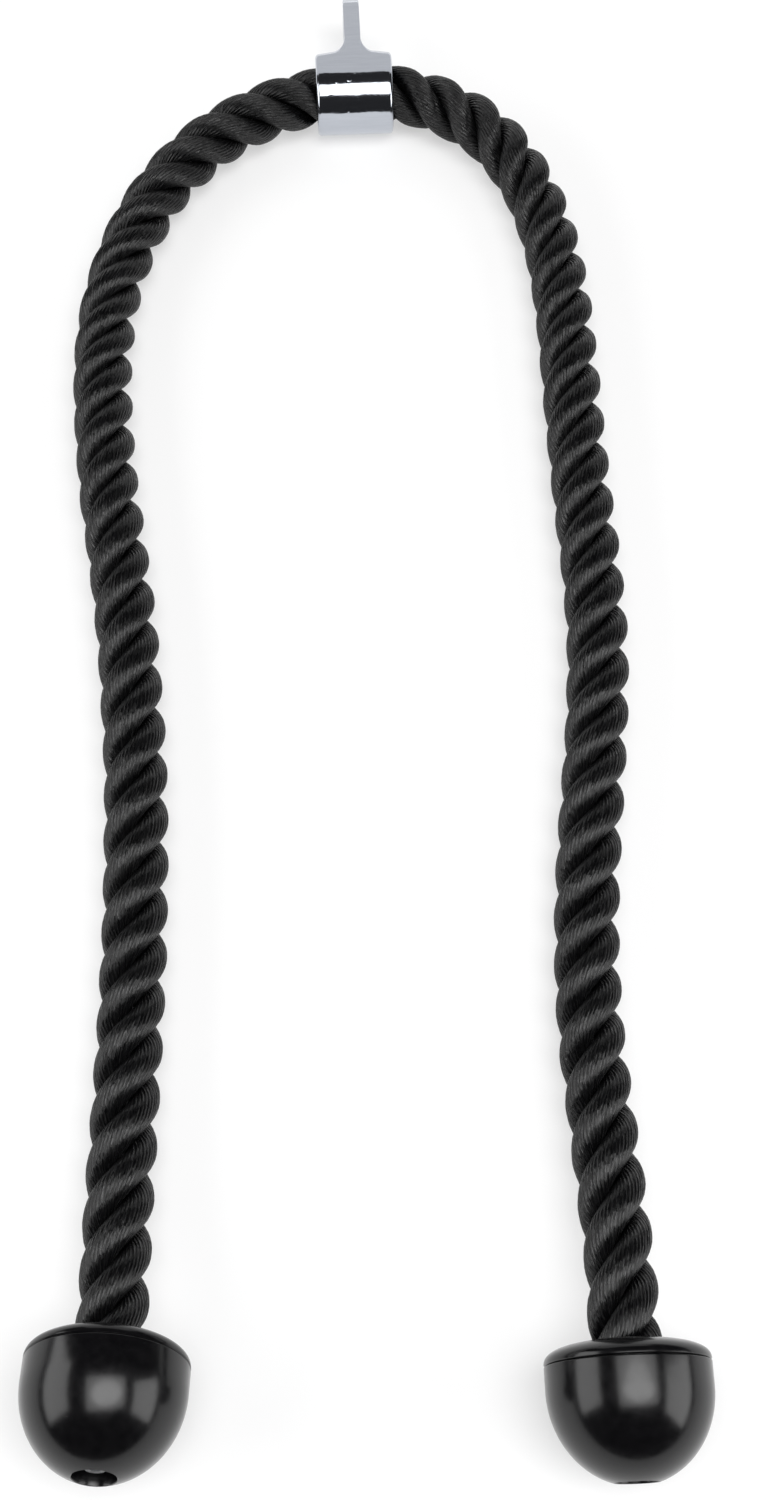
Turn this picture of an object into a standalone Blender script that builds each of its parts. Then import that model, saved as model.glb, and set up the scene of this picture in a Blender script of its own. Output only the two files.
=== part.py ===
"""Triceps rope attachment: a laid rope through a forged collar with an eye plate,
and a screwed-on two-piece cap on each end of the rope.

Metres, +Z up. The part lies on the surface that it rests on, as it does when it is put down:
the eye plate points to +Y, the two legs of the rope run towards -Y. The origin is under the middle
of the collar and the caps taken together, on that surface.
"""

import math

import bmesh
import bpy
from mathutils import Matrix, Vector

# The rope
ROPE_DIAMETER = 0.031
BEND_SPACING = 0.190  # along the rope, from one place where it bends to the next
BENDS_A_LEG = 4
BEND_LENGTH = 0.020  # the soft stretch at each bend
ARCH_STEP = 0.018  # between the points of a tube near the collar, where the rope curves most
LEG_STEP = 0.056
TUBE_LEAD = 0.001  # a short first step, which sets a tube's end square to the rope
MOUTH_LEAD = 0.008  # the rope is straight from here outside each cap's mouth to its end
FIT_GAP = 0.0003  # between pieces that touch

# The collar and its eye plate
COLLAR_WIDTH = 0.042
COLLAR_WALL = 0.0041
COLLAR_CLEARANCE = 0.0009  # round the rope
COLLAR_EDGE = 0.002
COLLAR_BORE_EDGE = 0.0012
SHOULDER_RISE = 0.0023  # from the ring up to the shoulders beside the plate
FOOT_RISE = 0.0009  # from the shoulders up to the foot of the plate
PLATE_THICKNESS = 0.0090
PLATE_FILLET = 0.0075
PLATE_EDGE = 0.0010
EYE_DISTANCE = 0.045  # from the rope's centre line to the eye's centre
EYE_RADIUS = 0.018
EYE_HOLE_DIAMETER = 0.020
EYE_HOLE_CHAMFER = 0.0010
CUT_OVERRUN = 0.001

# An end cap: its bowl
CAP_DIAMETER = 0.070
BOWL_DOME_DEPTH = 0.038  # the dome's half axis along the cap
BOWL_SIDE = 0.0098  # the straight side above the dome
BOWL_WALL = 0.004
SEAM_EDGE = 0.0005
RECESS_DIAMETER = 0.0184
RECESS_DEPTH = 0.009
RECESS_EDGE = 0.0005
SEAT_WALL = 0.006  # between the recess and the rope's end
SOCKET_DEPTH = 0.024
SOCKET_WALL = 0.003

# An end cap: its cover
COVER_RISE = 0.0092
COVER_FULLNESS = 2.6  # the exponent of its dome's curve, 2 for an ellipse
COVER_WALL = 0.003
COVER_CLEARANCE = 0.0006  # round the rope
COVER_LIP_EDGE = 0.0015
SPIGOT_DEPTH = 0.005
SPIGOT_WALL = 0.003

# What holds a cap on the rope
TAPE_THICKNESS = 0.0006
TAPE_WIDTH = 0.022
WASHER_DIAMETER = 0.017
WASHER_THICKNESS = 0.0015
SCREW_DIAMETER = 0.0055
SCREW_HEAD_DIAMETER = 0.009
SCREW_HEAD_HEIGHT = 0.0035
SCREW_HEAD_EDGE = 0.001
SCREW_CLEARANCE = 0.0004
SCREW_BITE = 0.026  # how deep the screw goes into the rope
SCREW_TIP = 0.004
SOCKET_KEY_DIAMETER = 0.005
SOCKET_KEY_DEPTH = 0.0018

CAP_STEPS = 36  # sides of a turned cap piece
SMALL_STEPS = 24
ARC_STEPS = 4  # along a fillet or a rounded edge
DOME_STEPS = 8
INSIDE_STEPS = 4
EYE_STEPS = 16
FLANK_STEPS = 7
RING_STEPS = 20

# The route of the rope, drawn in plan with its bends ROUTE_SPACING apart, from the collar's centre
# outwards: x, y, and how much of the height of the collar's centre and of the cap's mouth over the
# flat-lying rope the rope still has there, as shares.
ROUTE_SPACING = 190
LEFT_RUN = [
    (-38.5, -4.0, 0.92, 0),
    (-74.0, -22.0, 0.68, 0),
    (-102.5, -50.0, 0.40, 0),
    (-122.0, -84.5, 0.15, 0),
    (-134.0, -123.0, 0.02, 0),
    (-138.5, -162.5, 0, 0),
    (-138.0, -202.5, 0, 0),
    (-135.0, -242.0, 0, 0),
    (-130.0, -282.0, 0, 0),
    (-125.5, -321.5, 0, 0),
    (-122.5, -361.5, 0, 0),
    (-120.5, -401.5, 0, 0),
    (-120.0, -441.5, 0, 0),
    (-120.5, -481.5, 0, 0),
    (-122.0, -521.5, 0, 0),
    (-124.0, -561.5, 0, 0.07),
    (-126.0, -601.0, 0, 0.24),
    (-127.0, -638.0, 0, 0.59),
]
RIGHT_RUN = [
    (39.0, -4.5, 0.92, 0),
    (71.5, -26.5, 0.68, 0),
    (92.0, -61.0, 0.40, 0),
    (102.0, -99.5, 0.15, 0),
    (105.5, -139.5, 0.02, 0),
    (106.0, -179.5, 0, 0),
    (106.0, -219.5, 0, 0),
    (106.5, -259.5, 0, 0),
    (107.5, -299.5, 0, 0),
    (107.0, -339.0, 0, 0),
    (103.5, -379.0, 0, 0),
    (98.0, -419.0, 0, 0),
    (92.5, -458.5, 0, 0),
    (88.5, -498.0, 0, 0),
    (87.0, -538.0, 0, 0.06),
    (88.0, -578.0, 0, 0.23),
    (89.0, -617.5, 0, 0.52),
    (89.0, -648.0, 0, 0.83),
]
# Where the bottom of each cap is, drawn as the route is, and how the cap lies: its heading from -Y
# towards +X, and how far its bottom points up.
LEFT_BOTTOM = (-131.7, -719.3)
LEFT_HEADING = math.radians(-3.8)
LEFT_TILT = math.radians(17)
RIGHT_BOTTOM = (87.6, -730.0)
RIGHT_HEADING = math.radians(-0.6)
RIGHT_TILT = math.radians(1.2)

# Worked out from the sizes above
ROUTE_SCALE = BEND_SPACING / ROUTE_SPACING
ROPE_RADIUS = ROPE_DIAMETER / 2
COLLAR_BORE = ROPE_RADIUS + COLLAR_CLEARANCE
COLLAR_RADIUS = COLLAR_BORE + COLLAR_WALL
CAP_RADIUS = CAP_DIAMETER / 2
RECESS_RADIUS = RECESS_DIAMETER / 2
SEAT_HEIGHT = RECESS_DEPTH + SEAT_WALL
ROPE_END = SEAT_HEIGHT + FIT_GAP
TAPE_RADIUS = ROPE_RADIUS + FIT_GAP + TAPE_THICKNESS
SOCKET_RADIUS = TAPE_RADIUS + FIT_GAP
COVER_BORE = ROPE_RADIUS + COVER_CLEARANCE
SCREW_RADIUS = SCREW_DIAMETER / 2

UP = Vector((0, 0, 1))
# Colour, roughness and metallic value of each kind of surface
ROPE_LOOK = ((0.012, 0.012, 0.013), 0.55, 0)
CHROME_LOOK = ((0.78, 0.80, 0.84), 0.08, 1)
CAP_LOOK = ((0.010, 0.010, 0.011), 0.16, 0)
TAPE_LOOK = ((0.020, 0.020, 0.022), 0.45, 0)
STEEL_LOOK = ((0.56, 0.57, 0.58), 0.30, 1)


def clear_scene():
    for old in list(bpy.data.objects):
        bpy.data.objects.remove(old)


def new_collection(name):
    collection = bpy.data.collections.new(name)
    bpy.context.scene.collection.children.link(collection)
    return collection


def finish(obj, look):
    """Gives an object its own material."""
    colour, roughness, metallic = look
    material = bpy.data.materials.new(obj.name)
    material.use_nodes = True
    shader = material.node_tree.nodes["Principled BSDF"]
    shader.inputs["Base Color"].default_value = (*colour, 1)
    shader.inputs["Roughness"].default_value = roughness
    shader.inputs["Metallic"].default_value = metallic
    obj.data.materials.append(material)


def add_empty(name, place, parent, collection):
    """An empty on a joint's axis. The place is relative to the parent."""
    empty = bpy.data.objects.new(name, None)
    empty.location = place
    empty.parent = parent
    collection.objects.link(empty)
    return empty


def arc(centre, radius, start, end, steps):
    """Points of an arc in a plane, both ends included, with angles in turns of the circle."""
    points = []
    for step in range(steps + 1):
        angle = 2 * math.pi * (start + (end - start) * step / steps)
        points.append((centre[0] + radius * math.cos(angle), centre[1] + radius * math.sin(angle)))
    return points


def turned(name, profile, steps, closed, collection):
    """A shape turned about Z. The profile runs down its outer side."""
    mesh = bpy.data.meshes.new(name)
    edges = [(i, i + 1) for i in range(len(profile) - 1)]
    if closed:
        edges.append((len(profile) - 1, 0))
    mesh.from_pydata([(radius, 0, height) for radius, height in profile], edges, [])
    obj = bpy.data.objects.new(name, mesh)
    collection.objects.link(obj)
    turn = obj.modifiers.new("turn", "SCREW")
    turn.axis = "Z"
    turn.steps = steps
    turn.render_steps = steps
    turn.use_merge_vertices = True
    turn.merge_threshold = 0.00001
    turn.use_smooth_shade = True
    return obj


def cut(obj, cutter):
    """Takes the cutter's shape out of the object."""
    cutter.hide_render = True
    cutter.display_type = "WIRE"
    hole = obj.modifiers.new("hole", "BOOLEAN")
    hole.operation = "DIFFERENCE"
    hole.solver = "EXACT"
    hole.object = cutter


class Cap:
    """How one end cap lies: its own axis runs from its bottom, at height 0, up to its mouth."""

    def __init__(self, bottom, heading, tilt):
        self.outward = Vector(
            (
                math.sin(heading) * math.cos(tilt),
                -math.cos(heading) * math.cos(tilt),
                math.sin(tilt),
            )
        )
        self.bottom = Vector((bottom[0] * ROUTE_SCALE, bottom[1] * ROUTE_SCALE, 0))
        # the cap rests on the surface at the lowest point of its skin
        self.bottom.z = -min(self.at(height).z - radius * math.cos(tilt) for radius, height in cap_skin())

    def at(self, height):
        """The point of the cap's axis at that height over its bottom."""
        return self.bottom - self.outward * height

    def reach(self, way):
        """How far the cap's skin reaches along a direction."""
        across = math.sqrt(1 - self.outward.dot(way) ** 2)
        return max(self.at(height).dot(way) + radius * across for radius, height in cap_skin())

    def matrix(self):
        """From the cap's own axes, with Z up its axis and X down to the surface, to the part's."""
        along = -self.outward
        down = (-UP - along * along.dot(-UP)).normalized()
        turn = Matrix((down, along.cross(down), along)).transposed().to_4x4()
        return Matrix.Translation(self.bottom) @ turn


def dome_end_angle():
    """The angle on the bowl's dome where the recess opens."""
    return math.acos((RECESS_RADIUS + RECESS_EDGE) / CAP_RADIUS)


def dome_centre():
    return BOWL_DOME_DEPTH * math.sin(dome_end_angle())


def bowl_height():
    return dome_centre() + BOWL_SIDE


def cover_foot():
    return bowl_height() + FIT_GAP


def cover_dome(turn):
    """A point of the cover's outer dome, at a turn of 0 for its foot up to a quarter circle."""
    power = 2 / COVER_FULLNESS
    rise = COVER_RISE * math.sin(turn) ** power
    return CAP_RADIUS * math.cos(turn) ** power, cover_foot() + rise


def lip_turn():
    """Where the cover's dome meets the rounded lip round the rope."""
    lip = (COVER_BORE + COVER_LIP_EDGE) / CAP_RADIUS
    return math.acos(lip ** (COVER_FULLNESS / 2))


def cap_height():
    return cover_dome(lip_turn())[1]


def bowl_skin():
    """The bowl's outer side, from the seam down to the edge of the recess."""
    points = [
        (CAP_RADIUS - SEAM_EDGE, bowl_height()),
        (CAP_RADIUS, bowl_height() - SEAM_EDGE),
    ]
    for step in range(DOME_STEPS + 1):
        angle = dome_end_angle() * step / DOME_STEPS
        points.append((CAP_RADIUS * math.cos(angle), dome_centre() - BOWL_DOME_DEPTH * math.sin(angle)))
    return points


def cover_skin():
    """The cover's outer side, from the crest of the lip down to the seam."""
    lip = (COVER_BORE + COVER_LIP_EDGE, cap_height() - COVER_LIP_EDGE)
    points = arc(lip, COVER_LIP_EDGE, 1 / 2, 1 / 4, ARC_STEPS)
    end = math.asin((SEAM_EDGE / COVER_RISE) ** (COVER_FULLNESS / 2))
    for step in range(1, DOME_STEPS + 1):
        points.append(cover_dome(lip_turn() + (end - lip_turn()) * step / DOME_STEPS))
    points.append((CAP_RADIUS - SEAM_EDGE, cover_foot()))
    return points


def cap_skin():
    return cover_skin() + bowl_skin()


def make_bowl(name, collection):
    """The bowl, with its socket for the rope's end and its recess for the screw."""
    hole = SCREW_RADIUS + SCREW_CLEARANCE
    sleeve = SOCKET_RADIUS + SOCKET_WALL
    inside = CAP_RADIUS - BOWL_WALL
    depth = BOWL_DOME_DEPTH - BOWL_WALL
    profile = bowl_skin()
    profile += [
        (RECESS_RADIUS, RECESS_EDGE),
        (RECESS_RADIUS, RECESS_DEPTH),
        (hole, RECESS_DEPTH),
        (hole, SEAT_HEIGHT),
        (SOCKET_RADIUS, SEAT_HEIGHT),
        (SOCKET_RADIUS, SEAT_HEIGHT + SOCKET_DEPTH),
        (sleeve, SEAT_HEIGHT + SOCKET_DEPTH),
    ]
    # the inside of the shell, from the foot of the socket up to the seam
    foot = math.acos(min(sleeve / inside, 1))
    for step in range(INSIDE_STEPS + 1):
        angle = foot * (INSIDE_STEPS - step) / INSIDE_STEPS
        profile.append((inside * math.cos(angle), dome_centre() - depth * math.sin(angle)))
    profile.append((inside, bowl_height()))
    return turned(name, profile, CAP_STEPS, True, collection)


def make_cover(name, collection):
    """The cover, a dome with a lip round the rope and a spigot that sits inside the bowl."""
    spigot = CAP_RADIUS - BOWL_WALL - FIT_GAP
    inside = spigot - SPIGOT_WALL
    profile = cover_skin()
    profile += [
        (spigot, cover_foot()),
        (spigot, cover_foot() - SPIGOT_DEPTH),
        (inside, cover_foot() - SPIGOT_DEPTH),
    ]
    end = math.acos(COVER_BORE / inside)
    for step in range(INSIDE_STEPS + 1):
        angle = end * step / INSIDE_STEPS
        height = (COVER_RISE - COVER_WALL) * math.sin(angle)
        profile.append((inside * math.cos(angle), cover_foot() + height))
    return turned(name, profile, CAP_STEPS, True, collection)


def make_tape(name, collection):
    """The tape round the rope's end, inside the bowl's socket."""
    inner = ROPE_RADIUS + FIT_GAP
    top = ROPE_END + TAPE_WIDTH
    profile = [(TAPE_RADIUS, top), (TAPE_RADIUS, ROPE_END), (inner, ROPE_END), (inner, top)]
    return turned(name, profile, SMALL_STEPS, True, collection)


def make_washer(name, collection):
    outer = WASHER_DIAMETER / 2
    inner = SCREW_RADIUS + SCREW_CLEARANCE
    top = RECESS_DEPTH - FIT_GAP
    bottom = top - WASHER_THICKNESS
    profile = [(outer, top), (outer, bottom), (inner, bottom), (inner, top)]
    return turned(name, profile, SMALL_STEPS, True, collection)


def make_screw(name, collection, cutters):
    """The screw, from its pointed tip in the rope down to its head with a six-sided socket."""
    head = SCREW_HEAD_DIAMETER / 2
    top = RECESS_DEPTH - FIT_GAP - WASHER_THICKNESS - FIT_GAP
    bottom = top - SCREW_HEAD_HEIGHT
    tip = ROPE_END + SCREW_BITE
    profile = [(0, tip), (SCREW_RADIUS, tip - SCREW_TIP), (SCREW_RADIUS, top), (head, top)]
    edge = (head - SCREW_HEAD_EDGE, bottom + SCREW_HEAD_EDGE)
    profile += arc(edge, SCREW_HEAD_EDGE, 0, -1 / 4, ARC_STEPS)
    profile.append((0, bottom))
    screw = turned(name, profile, SMALL_STEPS, False, collection)
    key = bmesh.new()
    bmesh.ops.create_cone(
        key,
        cap_ends=True,
        segments=6,
        radius1=SOCKET_KEY_DIAMETER / 2,
        radius2=SOCKET_KEY_DIAMETER / 2,
        depth=SOCKET_KEY_DEPTH + CUT_OVERRUN,
        matrix=Matrix.Translation((0, 0, bottom + (SOCKET_KEY_DEPTH - CUT_OVERRUN) / 2)),
    )
    cutter = mesh_object(name + "_key_cut", key, cutters)
    cut(screw, cutter)
    return screw, cutter


def mesh_object(name, shape, collection):
    """Turns a bmesh into an object, with its faces pointing out."""
    bmesh.ops.recalc_face_normals(shape, faces=shape.faces)
    mesh = bpy.data.meshes.new(name)
    shape.to_mesh(mesh)
    shape.free()
    obj = bpy.data.objects.new(name, mesh)
    collection.objects.link(obj)
    return obj


def plate_outline():
    """The eye plate seen along the rope: (angle about the rope, distance from the rope's centre line)
    round the whole ring. Its flanks are straight, tangent to the ring and to the rounded end."""
    lean = math.acos((COLLAR_RADIUS - EYE_RADIUS) / EYE_DISTANCE)
    points = []
    for step in range(EYE_STEPS + 1):
        angle = lean * (2 * step / EYE_STEPS - 1)
        points.append((EYE_DISTANCE + EYE_RADIUS * math.cos(angle), EYE_RADIUS * math.sin(angle)))
    upper = Vector(points[-1])
    foot = Vector((COLLAR_RADIUS * math.cos(lean), COLLAR_RADIUS * math.sin(lean)))
    flank = [tuple(upper.lerp(foot, step / FLANK_STEPS)) for step in range(1, FLANK_STEPS + 1)]
    points += flank
    for step in range(1, RING_STEPS):
        angle = lean + 2 * (math.pi - lean) * step / RING_STEPS
        points.append((COLLAR_RADIUS * math.cos(angle), COLLAR_RADIUS * math.sin(angle)))
    points += [(y, -z) for y, z in reversed(flank)]
    return [(math.atan2(z, y), math.hypot(y, z)) for y, z in points]


def shoulder_radius():
    return COLLAR_RADIUS + SHOULDER_RISE


def foot_radius():
    return shoulder_radius() + FOOT_RISE


def collar_section():
    """The collar's half section, from the ring's end up to the plate: (distance from its middle plane,
    the radius up to which the shape is filled, how deep the edge there is rounded). A radius of None
    is the plate itself, which is filled up to its outline."""
    end = COLLAR_WIDTH / 2
    half = PLATE_THICKNESS / 2
    shoulder = shoulder_radius()
    edge = (end - COLLAR_EDGE, shoulder - COLLAR_EDGE)
    section = [(x, shoulder, shoulder - radius) for x, radius in arc(edge, COLLAR_EDGE, 0, 1 / 4, ARC_STEPS)]
    fillet = (half + PLATE_FILLET, foot_radius() + PLATE_FILLET)
    section += [(x, radius, 0) for x, radius in arc(fillet, PLATE_FILLET, 3 / 4, 1 / 2, ARC_STEPS)]
    section += [
        (half, None, PLATE_EDGE),
        (half - PLATE_EDGE / 3, None, PLATE_EDGE / 3),
        (half - PLATE_EDGE, None, 0),
    ]
    return section


def collar_loop(x, radius, depth, outline):
    """One closed loop of the collar's skin at a distance from its middle plane. It stays inside the
    outline, so that the shoulders are flat where the plate's flanks leave the ring."""
    loop = []
    for angle, rim in outline:
        # the rim's edge is sharp where the plate is no higher than its foot
        rounding = min(PLATE_EDGE, max(0, rim - foot_radius()) / 3)
        if radius is None:
            reach = rim - min(depth, rounding)
        else:
            reach = min(radius, rim - rounding) - depth
        loop.append((x, reach * math.cos(angle), reach * math.sin(angle)))
    return loop


def make_collar(collection, cutters):
    """The forged collar: its skin as loops about the rope, out along one half and back, then the
    bore. The loops grow into the eye plate on the +Y side, with a fillet at its foot."""
    outline = plate_outline()
    half = collar_section()
    loops = [collar_loop(x, radius, depth, outline) for x, radius, depth in half]
    loops += [collar_loop(-x, radius, depth, outline) for x, radius, depth in reversed(half)]
    end = COLLAR_WIDTH / 2
    bore = [
        (-end, COLLAR_BORE + COLLAR_BORE_EDGE),
        (-end + COLLAR_BORE_EDGE, COLLAR_BORE),
        (end - COLLAR_BORE_EDGE, COLLAR_BORE),
        (end, COLLAR_BORE + COLLAR_BORE_EDGE),
    ]
    loops += [collar_loop(x, radius, 0, outline) for x, radius in bore]
    shape = bmesh.new()
    rows = [[shape.verts.new(point) for point in loop] for loop in loops]
    for row, following in zip(rows, rows[1:] + rows[:1]):
        for i in range(len(row)):
            k = (i + 1) % len(row)
            shape.faces.new((row[i], row[k], following[k], following[i]))
    # where the plate is low, some loops run together
    bmesh.ops.remove_doubles(shape, verts=shape.verts, dist=COLLAR_CLEARANCE / 90)
    collar = mesh_object("collar", shape, collection)
    collar.data.shade_smooth()
    collar.data.set_sharp_from_angle(angle=math.radians(40))
    face = PLATE_THICKNESS / 2
    radius = EYE_HOLE_DIAMETER / 2
    flare = radius + EYE_HOLE_CHAMFER + CUT_OVERRUN
    profile = [
        (0, face + CUT_OVERRUN),
        (flare, face + CUT_OVERRUN),
        (radius, face - EYE_HOLE_CHAMFER),
        (radius, EYE_HOLE_CHAMFER - face),
        (flare, -face - CUT_OVERRUN),
        (0, -face - CUT_OVERRUN),
    ]
    cutter = turned("eye_hole_cut", profile, CAP_STEPS, False, cutters)
    cutter.rotation_euler = (0, math.pi / 2, 0)
    cutter.location = (0, EYE_DISTANCE, 0)
    cut(collar, cutter)
    return collar, cutter


class Route:
    """The rope's centre line: a smooth curve through its points, measured along the rope from the
    collar's centre, with the left leg at negative distances."""

    def __init__(self, points, middle):
        self.line = smooth_line(points)
        lengths = [0]
        for here, following in zip(self.line, self.line[1:]):
            lengths.append(lengths[-1] + (following - here).length)
        nearest = min(range(len(self.line)), key=lambda i: (self.line[i] - middle).length)
        self.lengths = [length - lengths[nearest] for length in lengths]

    def at(self, distance):
        lengths = self.lengths
        i = next((k for k in range(1, len(lengths) - 1) if lengths[k] >= distance), len(lengths) - 1)
        share = (distance - lengths[i - 1]) / (lengths[i] - lengths[i - 1])
        return self.line[i - 1].lerp(self.line[i], share)


def smooth_line(points, steps=24):
    """A fine line on a cubic curve through the points, whose slopes allow for uneven spacing."""
    gaps = [(b - a).length for a, b in zip(points, points[1:])]
    slopes = [(points[1] - points[0]) / gaps[0]]
    for i in range(1, len(points) - 1):
        before = (points[i] - points[i - 1]) / gaps[i - 1]
        after = (points[i + 1] - points[i]) / gaps[i]
        slopes.append((before * gaps[i] + after * gaps[i - 1]) / (gaps[i - 1] + gaps[i]))
    slopes.append((points[-1] - points[-2]) / gaps[-1])
    line = [points[0]]
    for i, gap in enumerate(gaps):
        for step in range(1, steps + 1):
            t = step / steps
            line.append(
                points[i] * (2 * t**3 - 3 * t**2 + 1)
                + slopes[i] * gap * (t**3 - 2 * t**2 + t)
                + points[i + 1] * (3 * t**2 - 2 * t**3)
                + slopes[i + 1] * gap * (t**3 - t**2)
            )
    return line


def run_points(run, cap, collar_centre):
    """The points of one leg, from the collar outwards to the rope's end in its cap."""
    points = []
    for x, y, collar_share, cap_share in run:
        lift = collar_share * (COLLAR_RADIUS - ROPE_RADIUS) + cap_share * (cap.at(cap_height()).z - ROPE_RADIUS)
        place = (collar_centre.x + x * ROUTE_SCALE, collar_centre.y + y * ROUTE_SCALE, ROPE_RADIUS + lift)
        points.append(Vector(place))
    return points + [cap.at(cap_height() + MOUTH_LEAD), cap.at(cap_height()), cap.at(ROPE_END)]


def tube_distances(stops, step):
    """Places for a tube's points: at each stop and evenly between the stops, with a short first and
    last step."""
    lead = math.copysign(TUBE_LEAD, stops[-1] - stops[0])
    inner = [stops[0] + lead, *stops[1:-1], stops[-1] - lead]
    places = [stops[0]]
    for here, following in zip(inner, inner[1:]):
        count = max(1, round(abs(following - here) / step))
        places += [here + (following - here) * i / count for i in range(count)]
    return [*places, inner[-1], stops[-1]]


def make_tube(name, route, distances, origin, collection):
    """A stretch of the rope as a tube, in the axes of the empty that carries it."""
    curve = bpy.data.curves.new(name, "CURVE")
    curve.dimensions = "3D"
    curve.bevel_depth = ROPE_RADIUS
    curve.bevel_resolution = 4
    curve.use_fill_caps = True
    spline = curve.splines.new("POLY")
    spline.points.add(len(distances) - 1)
    for point, distance in zip(spline.points, distances):
        point.co = (*(route.at(distance) - origin), 1)
    tube = bpy.data.objects.new(name, curve)
    collection.objects.link(tube)
    return tube


def solid_copy(tube, collection):
    """The tube as a closed mesh, which a Boolean can cut. The tube itself goes."""
    bpy.context.view_layer.update()
    evaluated = tube.evaluated_get(bpy.context.evaluated_depsgraph_get())
    shape = bmesh.new()
    shape.from_mesh(bpy.data.meshes.new_from_object(evaluated))
    bmesh.ops.remove_doubles(shape, verts=shape.verts, dist=FIT_GAP / 30)
    name, place, parent = tube.name, tube.location.copy(), tube.parent
    bpy.data.objects.remove(tube)
    solid = mesh_object(name, shape, collection)
    solid.location = place
    solid.parent = parent
    return solid


def make_leg(side, sign, route, cap, middle_frame, collection, cutters):
    """One leg of the rope: its stretches and bends, each carried by an empty at its bend, and the
    cap on its end."""
    end = route.lengths[-1] if sign > 0 else route.lengths[0]
    mouth = end - sign * (cap_height() + MOUTH_LEAD - ROPE_END)
    carrier = middle_frame
    origin = middle_frame.matrix_basis.translation.copy()
    for number in range(1, BENDS_A_LEG + 1):
        station = sign * BEND_SPACING * (number - 1 / 2)
        pivot = route.at(station)
        carrier = add_empty(f"{side}_bend_{number}_axis", pivot - origin, carrier, collection)
        origin = pivot
        half = sign * BEND_LENGTH / 2
        gap = sign * FIT_GAP
        soft = [station - half + gap, station, station + half - gap]
        if number == 1:
            soft = tube_distances([soft[0], soft[-1]], ARCH_STEP)
        bend = make_tube(f"{side}_rope_bend_{number}", route, soft, origin, collection)
        stops = [station + half, station + sign * BEND_SPACING - half]
        if number == BENDS_A_LEG:
            stops[1:] = [mouth, end]
        firm = tube_distances(stops, ARCH_STEP if number == 1 else LEG_STEP)
        stretch = make_tube(f"{side}_rope_{number}", route, firm, origin, collection)
        for piece in (bend, stretch):
            piece.parent = carrier
            finish(piece, ROPE_LOOK)
    seat = add_empty(f"{side}_cap_axis", (0, 0, 0), carrier, collection)
    seat.matrix_local = Matrix.Translation(-origin) @ cap.matrix()
    make_cap(side, seat, stretch, collection, cutters)


def make_cap(side, seat, rope_end, collection, cutters):
    """A cap's pieces on its axis, and the screw's hole in the rope's end."""
    screw, key = make_screw(f"{side}_screw", collection, cutters)
    pieces = [
        (make_bowl(f"{side}_cap_bowl", collection), CAP_LOOK),
        (make_cover(f"{side}_cap_cover", collection), CAP_LOOK),
        (make_tape(f"{side}_end_tape", collection), TAPE_LOOK),
        (make_washer(f"{side}_washer", collection), STEEL_LOOK),
        (screw, STEEL_LOOK),
    ]
    for piece, look in pieces:
        piece.parent = seat
        finish(piece, look)
    key.parent = seat
    solid = solid_copy(rope_end, collection)
    hole = bmesh.new()
    bottom = ROPE_END - CUT_OVERRUN
    top = ROPE_END + SCREW_BITE + FIT_GAP
    bmesh.ops.create_cone(
        hole,
        cap_ends=True,
        segments=SMALL_STEPS,
        radius1=SCREW_RADIUS + SCREW_CLEARANCE,
        radius2=SCREW_RADIUS + SCREW_CLEARANCE,
        depth=top - bottom,
        matrix=Matrix.Translation((0, 0, (top + bottom) / 2)),
    )
    cutter = mesh_object(f"{side}_screw_hole_cut", hole, cutters)
    cutter.parent = seat
    cut(solid, cutter)


def build():
    clear_scene()
    parts = new_collection("triceps_rope")
    cutters = new_collection("cutters")
    left = Cap(LEFT_BOTTOM, LEFT_HEADING, LEFT_TILT)
    right = Cap(RIGHT_BOTTOM, RIGHT_HEADING, RIGHT_TILT)
    # the collar's centre, so that the collar and the caps together lie evenly round the origin
    east, north = Vector((1, 0, 0)), Vector((0, 1, 0))
    centre = Vector(
        (
            (left.reach(-east) - right.reach(east)) / 2,
            (max(left.reach(-north), right.reach(-north)) - EYE_DISTANCE - EYE_RADIUS) / 2,
            COLLAR_RADIUS,
        )
    )
    for cap in (left, right):
        cap.bottom += Vector((centre.x, centre.y, 0))

    straight = COLLAR_WIDTH / 2 + COLLAR_EDGE
    inside = [centre + east * straight * share for share in (-1, -1 / 2, 0, 1 / 2, 1)]
    left_points = run_points(LEFT_RUN, left, centre)
    right_points = run_points(RIGHT_RUN, right, centre)
    route = Route(left_points[::-1] + inside + right_points, centre)

    middle_frame = add_empty("rope_centre_axis", centre, None, parts)
    reach = BEND_SPACING / 2 - BEND_LENGTH / 2
    places = tube_distances([-reach, -straight, straight, reach], ARCH_STEP)
    middle = make_tube("rope_centre", route, places, centre, parts)
    middle.parent = middle_frame
    finish(middle, ROPE_LOOK)

    collar, eye_cut = make_collar(parts, cutters)
    collar.parent = middle_frame
    eye_cut.parent = middle_frame
    finish(collar, CHROME_LOOK)

    make_leg("left", -1, route, left, middle_frame, parts, cutters)
    make_leg("right", 1, route, right, middle_frame, parts, cutters)
    bpy.context.view_layer.update()
    print("rope length", round(route.lengths[-1] - route.lengths[0], 4))


build()
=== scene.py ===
import math

import bmesh
import bpy
import numpy as np
from mathutils import Matrix, Vector


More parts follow.
